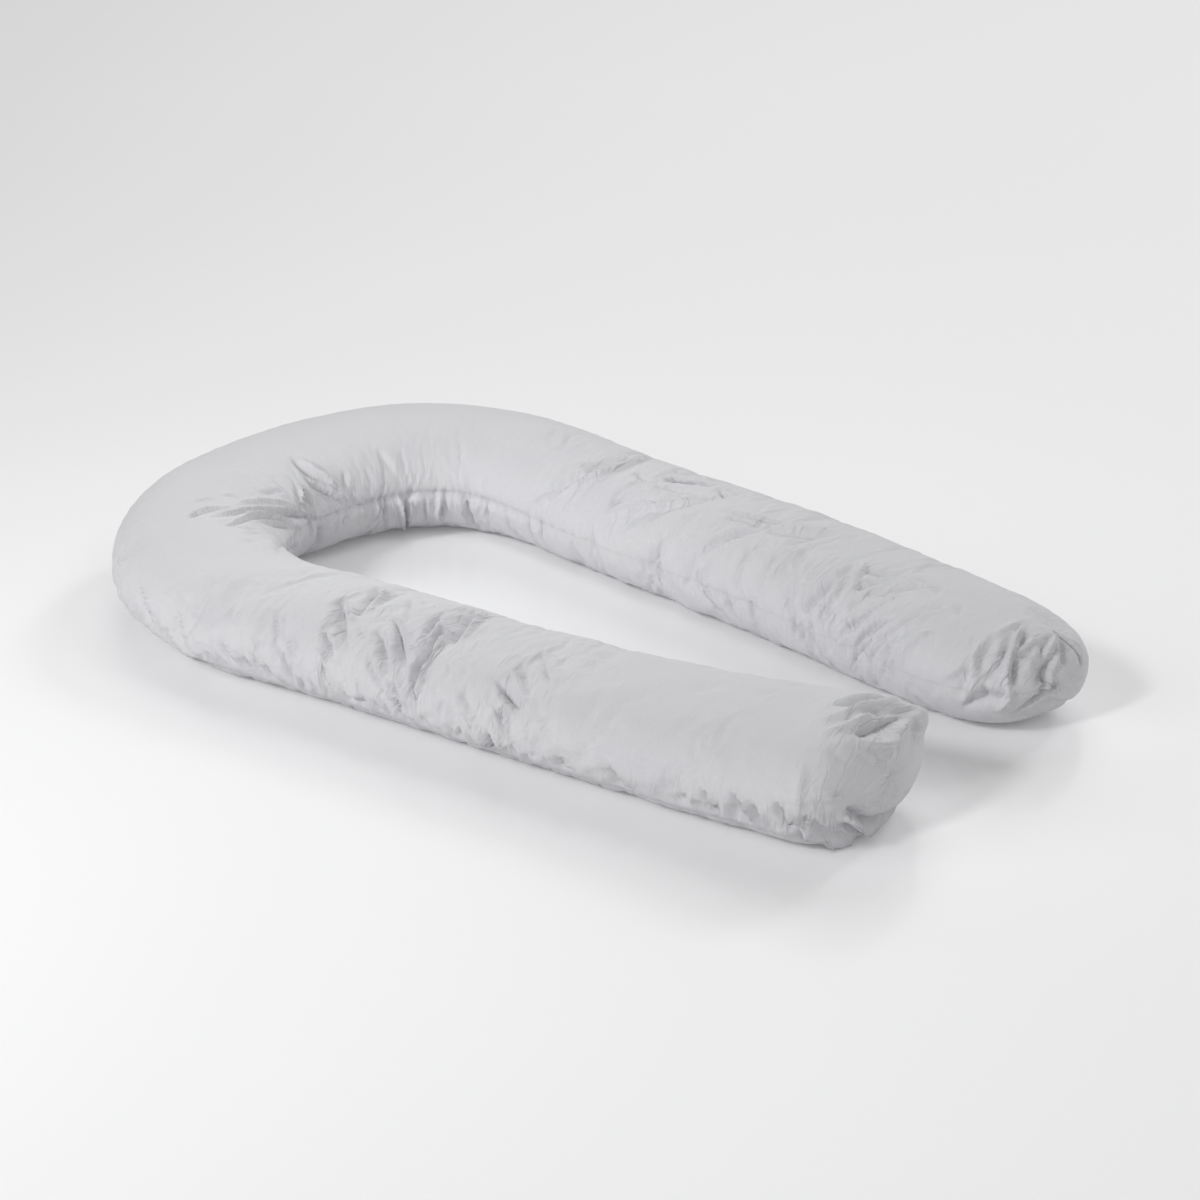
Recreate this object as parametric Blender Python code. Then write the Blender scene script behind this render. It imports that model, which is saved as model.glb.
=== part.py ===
# Body pillow: one filled tube of soft cotton, bent into a U with two long legs.
# The top and bottom panels are cut to the same U and sewn edge to edge. The seam lies
# low on the outer side, rises across both leg ends and runs at half height inside.
# Metres, +Z up, +X along the legs towards their closed ends.
import math

import bmesh
import bpy
import numpy as np

pillow_name = "body_pillow"
cover_colour = (0.76, 0.76, 0.78, 1.0)
cover_roughness = 0.92

# Sewing edges of the panels at thirteen places, from the end of the straight leg,
# round the bend, to the end of the slanting leg:
# inner edge x, inner edge y, outer edge x, outer edge y, filled height.
panel_rows = (
    (0.678, -0.187, 0.664, -0.457, 0.167),
    (0.365, -0.195, 0.365, -0.450, 0.136),
    (0.095, -0.195, 0.095, -0.440, 0.130),
    (-0.135, -0.185, -0.145, -0.430, 0.132),
    (-0.310, -0.185, -0.370, -0.425, 0.133),
    (-0.415, -0.140, -0.580, -0.330, 0.146),
    (-0.460, -0.055, -0.710, -0.125, 0.159),
    (-0.450, 0.060, -0.705, 0.135, 0.167),
    (-0.405, 0.160, -0.580, 0.360, 0.173),
    (-0.315, 0.205, -0.350, 0.455, 0.166),
    (-0.105, 0.160, -0.055, 0.405, 0.152),
    (0.230, 0.075, 0.305, 0.315, 0.156),
    (0.672, -0.055, 0.766, 0.178, 0.143),
)

# Rounding of the section and of the two closed ends.
section_power = 0.915
under_flat = 0.06          # share of the height pressed flat underneath
end_round_rows = (         # length inside, squareness inside, length outside, squareness
    (0.070, 3.4, 0.100, 2.9),
    (0.180, 2.75, 0.180, 2.75),
)

# Seam drawn in between the two panels.
seam_height_inside = 0.47  # share of the filled height
seam_height_outside = 0.12
seam_groove_depth = 0.004
seam_groove_width = 0.012

# No fold stands or sinks further than this from the smooth filled shape.
deepest_fold = 0.020

# Mesh size: rings along the tube, closer where the cloth is folded.
around_count = 32
ring_spacing_rows = (      # distance along the tube, spacing there
    (0.00, 0.014),
    (0.18, 0.016),
    (0.24, 0.030),
    (0.40, 0.026),
    (0.47, 0.015),
    (0.84, 0.014),
    (0.92, 0.028),
    (1.10, 0.026),
    (1.18, 0.017),
    (1.52, 0.018),
    (1.62, 0.032),
    (1.92, 0.028),
    (2.00, 0.015),
    (2.30, 0.016),
    (2.40, 0.026),
    (2.56, 0.022),
    (2.62, 0.016),
    (2.74, 0.018),
    (2.82, 0.018),
    (3.00, 0.015),
)

# Main folds. Each one runs through three places given as distance along the tube in
# metres and angle round it in degrees (0 inner seam, 90 crown, 180 outer seam), then
# width, rise (minus for a trough), height of the lip beside it (the sign picks the
# side) and how far along the fold it is strongest.
main_fold_rows = (
    # creases that fan out from the inner corner of the bend
    (1.19, 92, 1.30, 38, 1.46, -4, 0.018, -0.013, 0.006, 0.55),
    (1.17, 72, 1.25, 34, 1.39, -4, 0.018, -0.011, 0.004, 0.60),
    (1.476, 46, 1.485, 29, 1.527, 6, 0.018, -0.008, 0.004, 0.50),
    # deep folds across the straight leg
    (0.824, 100, 0.791, 121, 0.757, 146, 0.019, -0.010, 0.004, 0.45),
    (0.811, 74, 0.789, 95, 0.778, 114, 0.021, -0.013, 0.005, 0.50),
    (0.740, 100, 0.684, 127, 0.641, 176, 0.018, -0.010, 0.004, 0.45),
    (0.659, 92, 0.639, 116, 0.634, 142, 0.020, -0.016, 0.006, 0.50),
    (0.655, 60, 0.617, 97, 0.612, 116, 0.022, -0.014, 0.005, 0.50),
    (0.664, 176, 0.650, 188, 0.635, 204, 0.018, -0.008, 0.003, 0.50),
    (0.503, 152, 0.492, 170, 0.480, 200, 0.020, -0.013, 0.006, 0.55),
    (0.498, 94, 0.471, 109, 0.445, 128, 0.020, -0.008, 0.003, 0.45),
    (0.789, 168, 0.777, 182, 0.760, 200, 0.018, -0.008, 0.004, 0.50),
    # ridges and hollows that gather on the end of the straight leg
    (0.080, 91, 0.056, 80, 0.042, 62, 0.014, -0.008, 0.000, 0.50),
    (0.075, 108, 0.040, 94, 0.028, 44, 0.010, 0.007, 0.000, 0.60),
    (0.028, 106, 0.016, 90, 0.014, 44, 0.010, -0.009, 0.000, 0.50),
    (0.020, 115, 0.004, 88, 0.019, 27, 0.010, 0.006, 0.000, 0.55),
    (0.010, 186, 0.006, 225, 0.012, 297, 0.010, -0.013, 0.000, 0.60),
    # tucks above the seam of the straight leg
    (0.187, 178, 0.172, 190, 0.153, 206, 0.018, -0.008, 0.004, 0.50),
    (0.084, 178, 0.067, 196, 0.060, 218, 0.016, -0.008, 0.004, 0.50),
    # long slanting ridge, deep pocket and second ridge past the bend
    (2.04, 10, 2.142, 58, 2.144, 116, 0.016, 0.009, 0.000, 0.60),
    (2.09, 58, 2.125, 88, 2.166, 98, 0.018, -0.014, 0.000, 0.50),
    (2.215, 90, 2.264, 98, 2.320, 101, 0.017, -0.020, 0.006, 0.50),
    (2.209, 31, 2.282, 58, 2.354, 89, 0.018, 0.008, 0.000, 0.60),
    (2.215, 46, 2.235, 52, 2.272, 62, 0.016, -0.007, 0.000, 0.50),
    # starred fold half way down the slanting leg
    (2.550, 63, 2.557, 73, 2.564, 90, 0.018, -0.006, 0.000, 0.50),
    (2.664, 78, 2.670, 36, 2.651, 12, 0.018, -0.011, 0.006, 0.50),
    (2.696, 48, 2.717, 62, 2.735, 78, 0.016, -0.010, 0.000, 0.45),
    (2.726, 53, 2.751, 66, 2.789, 80, 0.016, 0.006, 0.000, 0.50),
    # broad facets on the end of the slanting leg
    (2.862, 42, 2.822, 18, 2.822, -8, 0.016, -0.007, 0.005, 0.50),
    (2.940, 78, 2.961, 52, 2.961, 16, 0.014, -0.011, 0.000, 0.50),
    (2.926, 96, 2.963, 60, 2.984, 6, 0.010, 0.008, 0.000, 0.55),
    (2.938, -18, 2.964, -7, 2.984, -8, 0.018, -0.009, 0.003, 0.50),
    (2.960, 107, 2.976, 94, 2.986, 80, 0.012, -0.007, 0.000, 0.55),
    (2.986, 92, 2.993, 68, 2.9965, 20, 0.012, -0.010, 0.000, 0.50),
    (2.950, 113, 2.971, 119, 2.992, 156, 0.014, -0.007, 0.002, 0.50),
)


# Smooth values between the rows, one row per unit of `place`.
def blend_rows(rows, place):
    rows = np.asarray(rows, dtype=float)
    slope = np.gradient(rows, axis=0)
    first = np.clip(np.floor(place).astype(int), 0, len(rows) - 2)
    step = (place - first)[:, None]
    return (
        (2 * step**3 - 3 * step**2 + 1) * rows[first]
        + (step**3 - 2 * step**2 + step) * slope[first]
        + (3 * step**2 - 2 * step**3) * rows[first + 1]
        + (step**3 - step**2) * slope[first + 1]
    )


# The tube's middle line, measured, with both edges and the height beside it.
def measured_tube():
    place = np.linspace(0.0, len(panel_rows) - 1, 1201)
    values = blend_rows(panel_rows, place)
    middle = (values[:, 0:2] + values[:, 2:4]) / 2
    steps = np.linalg.norm(np.diff(middle, axis=0), axis=1)
    return values, np.concatenate(([0.0], np.cumsum(steps)))


# How much of the full section is left at a distance from each closed end.
def end_rounding(along, turn, length):
    outer_share = (1 - np.cos(turn)) / 2
    fullness = 1.0
    for gap, row in zip((along, length - along), end_round_rows):
        reach = row[0] + (row[2] - row[0]) * outer_share
        power = row[1] + (row[3] - row[1]) * outer_share
        missing = np.clip(1 - gap / reach, 0, 1)
        fullness = fullness * (1 - missing**power) ** (1 / power)
    return fullness


# Points of the smooth filled tube. `along` in metres, `around` in degrees.
def tube_points(tube, along, around):
    values, distance = tube
    along = np.asarray(along, dtype=float)
    turn = np.radians(np.asarray(around, dtype=float))
    row = np.stack([np.interp(along, distance, values[:, k]) for k in range(5)], axis=-1)
    fullness = end_rounding(along, turn, distance[-1])
    across = np.sign(np.cos(turn)) * np.abs(np.cos(turn)) ** section_power
    upward = np.sign(np.sin(turn)) * np.abs(np.sin(turn)) ** section_power
    middle = (row[..., 0:2] + row[..., 2:4]) / 2
    half = (row[..., 0:2] - row[..., 2:4]) / 2
    height = row[..., 4]
    plan = middle + half * (fullness * across)[..., None]
    rise = (1 + under_flat) / 2 * height * (1 + fullness * upward)
    rise = np.maximum(rise - under_flat * height, 0.0)
    return np.concatenate([plan, rise[..., None]], axis=-1)


# Distances along the tube at which the rings stand.
def ring_places(length):
    spacing = np.array(ring_spacing_rows)
    quarter = math.pi / 2
    first_reach, first_power = end_round_rows[0][2:4]
    last_reach, last_power = end_round_rows[1][2:4]
    cap_angles = np.linspace(0.0, quarter, 12)[1:]
    start = first_reach * (1 - np.cos(cap_angles) ** (2 / first_power))
    cap_angles = np.linspace(0.0, quarter, 15)[1:]
    finish = last_reach * (1 - np.cos(cap_angles) ** (2 / last_power))
    places = list(start)
    last = length - last_reach
    body = [first_reach]
    while body[-1] < last:
        body.append(body[-1] + np.interp(body[-1], spacing[:, 0], spacing[:, 1]))
    body = np.array(body)
    body = first_reach + (body - first_reach) * ((last - first_reach) / (body[-1] - first_reach))
    places += list(body[1:-1])
    places += list(length - finish[::-1])
    return np.array(places)


# Rise of one fold over the given points; `sides` tells the two sides of it apart.
def fold_rise(tube, row, points, normals):
    s0, a0, s1, a1, s2, a2, width, rise, lip, head = row
    steps = np.linspace(0.0, 1.0, 25)
    along = s0 * (1 - steps) ** 2 + (4 * s1 - s0 - s2) * steps * (1 - steps) + s2 * steps**2
    around = a0 * (1 - steps) ** 2 + (4 * a1 - a0 - a2) * steps * (1 - steps) + a2 * steps**2
    line = tube_points(tube, along, around)
    near = np.where(np.min(np.linalg.norm(points[:, None] - line[None, ::4], axis=2), axis=1) < 0.12)[0]
    result = np.zeros(len(points))
    gap = points[near][:, None] - line[None]
    nearest = np.argmin(np.sum(gap**2, axis=2), axis=1)
    gap = gap[np.arange(len(near)), nearest]
    course = np.gradient(line, axis=0)[nearest]
    course /= np.linalg.norm(course, axis=1)[:, None]
    side = np.cross(normals[near], course)
    beyond = np.sum(gap * course, axis=1)
    offset = np.sqrt(np.maximum(np.sum(gap**2, axis=1) - beyond**2, 0.0))
    offset *= np.sign(np.sum(gap * side, axis=1))
    strength = np.sin(math.pi * steps[nearest] ** (math.log(0.5) / math.log(head))) ** 0.7
    strength *= np.exp(-((beyond / width) ** 2))
    spread = width * (0.5 + 0.5 * strength)
    lip_centre = 1.7 * spread * (1 if lip > 0 else -1)
    result[near] = strength * (
        rise * np.exp(-((offset / spread) ** 2))
        + abs(lip) * np.exp(-(((offset - lip_centre) / spread) ** 2))
    )
    return result


def outward_directions(grid):
    along = np.gradient(grid, axis=0)
    around = np.roll(grid, -1, axis=1) - np.roll(grid, 1, axis=1)
    normals = np.cross(along, around)
    size = np.linalg.norm(normals, axis=2, keepdims=True)
    return normals / np.maximum(size, 1e-9)


def fabric_material():
    material = bpy.data.materials.new("cotton_cover")
    material.use_nodes = True
    shader = material.node_tree.nodes["Principled BSDF"]
    shader.inputs["Base Color"].default_value = cover_colour
    shader.inputs["Roughness"].default_value = cover_roughness
    shader.inputs["Metallic"].default_value = 0.0
    material.diffuse_color = cover_colour
    return material


def build_pillow():
    tube = measured_tube()
    length = tube[1][-1]
    places = ring_places(length)
    angles = np.arange(around_count) * 360.0 / around_count
    along, around = np.meshgrid(places, angles, indexing="ij")
    grid = tube_points(tube, along, around)
    normals = outward_directions(grid)
    points = grid.reshape(-1, 3)
    outward = normals.reshape(-1, 3)

    # The seam groove, low outside and at half height inside.
    heights = np.interp(along, tube[1], tube[0][:, 4]).reshape(-1)
    outer_share = (1 - np.cos(np.radians(around.reshape(-1)))) / 2
    seam_share = seam_height_inside + (seam_height_outside - seam_height_inside) * outer_share
    from_seam = (points[:, 2] - seam_share * heights) / seam_groove_width
    rise = -seam_groove_depth * np.exp(-(from_seam**2))
    for row in main_fold_rows:
        rise += fold_rise(tube, row, points, outward)

    rise = deepest_fold * np.tanh(rise / deepest_fold)

    # The part that lies on the surface stays flat.
    free = np.clip(points[:, 2] / 0.03, 0, 1)
    free = free * free * (3 - 2 * free)
    moved = points + outward * (rise * free)[:, None]
    moved[:, 2] = np.maximum(moved[:, 2], 0.0)
    moved[points[:, 2] <= 0.0, 2] = 0.0
    tips = tube_points(tube, [0.0, length], [0.0, 0.0])

    # A ball with its two poles drawn out into the closed ends of the legs.
    mesh = bpy.data.meshes.new(pillow_name)
    work = bmesh.new()
    bmesh.ops.create_uvsphere(work, u_segments=around_count, v_segments=len(places) + 1, radius=1.0)
    for vertex in work.verts:
        x, y, z = vertex.co
        if abs(z) > 1 - 1e-7:
            vertex.co = tips[0] if z > 0 else tips[1]
            continue
        ring = round(math.acos(max(-1.0, min(1.0, z))) / math.pi * (len(places) + 1)) - 1
        turn = round(math.atan2(y, x) / (2 * math.pi) * around_count) % around_count
        vertex.co = moved[ring * around_count + turn]
    bmesh.ops.recalc_face_normals(work, faces=work.faces)
    if work.calc_volume(signed=True) < 0:
        bmesh.ops.reverse_faces(work, faces=work.faces)
    work.to_mesh(mesh)
    work.free()

    corners = np.array([vertex.co[:] for vertex in mesh.vertices])
    low = corners.min(axis=0)
    high = corners.max(axis=0)
    shift = ((low[0] + high[0]) / 2, (low[1] + high[1]) / 2, low[2])
    for vertex in mesh.vertices:
        vertex.co = (vertex.co[0] - shift[0], vertex.co[1] - shift[1], vertex.co[2] - shift[2])

    pillow = bpy.data.objects.new(pillow_name, mesh)
    mesh.materials.append(fabric_material())
    return pillow


for old in list(bpy.data.objects):
    bpy.data.objects.remove(old, do_unlink=True)

group = bpy.data.collections.new("body pillow")
bpy.context.scene.collection.children.link(group)
group.objects.link(build_pillow())
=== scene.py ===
import math

import bpy
import numpy as np
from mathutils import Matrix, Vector


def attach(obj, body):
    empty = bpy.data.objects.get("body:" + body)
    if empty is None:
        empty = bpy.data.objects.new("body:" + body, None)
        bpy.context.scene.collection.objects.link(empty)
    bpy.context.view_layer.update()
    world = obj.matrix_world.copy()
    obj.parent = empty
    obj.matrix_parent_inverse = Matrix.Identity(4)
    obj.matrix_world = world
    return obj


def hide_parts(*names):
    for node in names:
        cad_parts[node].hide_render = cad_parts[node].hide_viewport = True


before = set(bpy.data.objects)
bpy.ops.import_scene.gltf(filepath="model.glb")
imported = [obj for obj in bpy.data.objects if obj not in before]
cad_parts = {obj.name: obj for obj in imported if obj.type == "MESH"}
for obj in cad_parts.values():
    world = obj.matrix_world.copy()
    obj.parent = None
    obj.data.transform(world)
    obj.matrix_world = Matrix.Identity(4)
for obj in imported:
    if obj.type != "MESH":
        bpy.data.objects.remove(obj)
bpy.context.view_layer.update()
print("frame loaded")

# The pillow: one long filled tube, cut as two U-shaped panels and sewn edge to edge.
pillow = {
    # Sewing edges of the two panels, from the end of the straight leg round the bend to
    # the end of the slanting leg: inner x, inner y, outer x, outer y, filled height (m).
    "panels": (
        (0.678, -0.187, 0.664, -0.457, 0.167),
        (0.365, -0.195, 0.365, -0.450, 0.136),
        (0.095, -0.195, 0.095, -0.440, 0.130),
        (-0.135, -0.185, -0.145, -0.430, 0.132),
        (-0.310, -0.185, -0.370, -0.425, 0.133),
        (-0.415, -0.140, -0.580, -0.330, 0.146),
        (-0.460, -0.055, -0.710, -0.125, 0.159),
        (-0.450, 0.060, -0.705, 0.135, 0.167),
        (-0.405, 0.160, -0.580, 0.360, 0.173),
        (-0.315, 0.205, -0.350, 0.455, 0.166),
        (-0.105, 0.160, -0.055, 0.405, 0.152),
        (0.230, 0.075, 0.305, 0.315, 0.156),
        (0.672, -0.055, 0.766, 0.178, 0.143),
    ),
    "middle": (-0.0046, 0.0007),  # shift that centres it on the frame
    "sectionPower": 0.915,  # 1 is an ellipse, less is a fuller section
    "underFlat": 0.06,  # share of the height pressed flat underneath
    "seamHeight": (0.47, 0.12),  # share of the filled height: inner seam, outer seam
    # Rounding of the two closed ends: length (m) and squareness, inner side, outer side.
    "straightEnd": ((0.070, 3.4), (0.100, 2.9)),
    "slantingEnd": ((0.180, 2.75), (0.180, 2.75)),
    # Mesh size: distance along the tube and the spacing of the rings there (m).
    "ringSpacing": (
        (0.00, 0.0042), (0.20, 0.0046), (0.24, 0.0080), (0.40, 0.0080), (0.44, 0.0036),
        (0.50, 0.0030), (0.84, 0.0030), (0.94, 0.0042), (1.00, 0.0055), (1.12, 0.0055),
        (1.18, 0.0036), (1.50, 0.0038), (1.56, 0.0040), (1.90, 0.0040), (1.98, 0.0030),
        (2.36, 0.0032), (2.44, 0.0044), (2.56, 0.0040), (2.62, 0.0030), (2.76, 0.0032),
        (2.88, 0.0030), (3.00, 0.0030),
    ),
    "endSpacing": (0.0038, 0.0036),  # of the rings over the two closed ends (m)
    "endHalfWidth": 0.10,  # of a closed end, for spacing its rings (m)
    "rings": 755,
    "columns": 130,
    "underneath": 0.35,  # share of the columns kept where the skin lies flat
    "touches": 0.0005,  # skin lower than this rests on the floor (m)
    "deepest": 0.042,  # no fold goes further than this (m)
    "before": 0.35,  # share of the folds laid in before the cloth settles
    "after": 1.45,  # share pressed in again afterwards, which keeps them crisp
    "creasePower": 1.35,  # of a hollow: 2 is a soft one, 1 a knife crease
    "ridgePower": 1.7,
    "crestAt": 1.9,  # how far aside a crest stands, and its width, in flank widths
    "crestWidth": 1.1,
    "narrowest": 0.45,  # share of its width a fold keeps at its ends
    "fade": 0.7,  # how fast a fold dies away: less is more sudden
    "foldPoints": 61,
    "foldReach": 5,  # a fold is worked out this many widths to each side
    "dents": ((0.020, 20, 3), (0.011, 34, 4)),  # starting ripples: length (m), count, seed
    "dentHeight": 0.0006,
    "loosens": 0.006,  # the skin is free to fold from this height up (m)
    # The one fold that runs in under the cover behind it, as a row of the table below,
    # and how far it goes under, as a share of its depth.
    "pocket": (2.228, 91, 2.264, 99, 2.316, 101, 9, 3, -24, 0, 0.45),
    "goesUnder": 1.0,
    "seed": 4,
}

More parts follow.
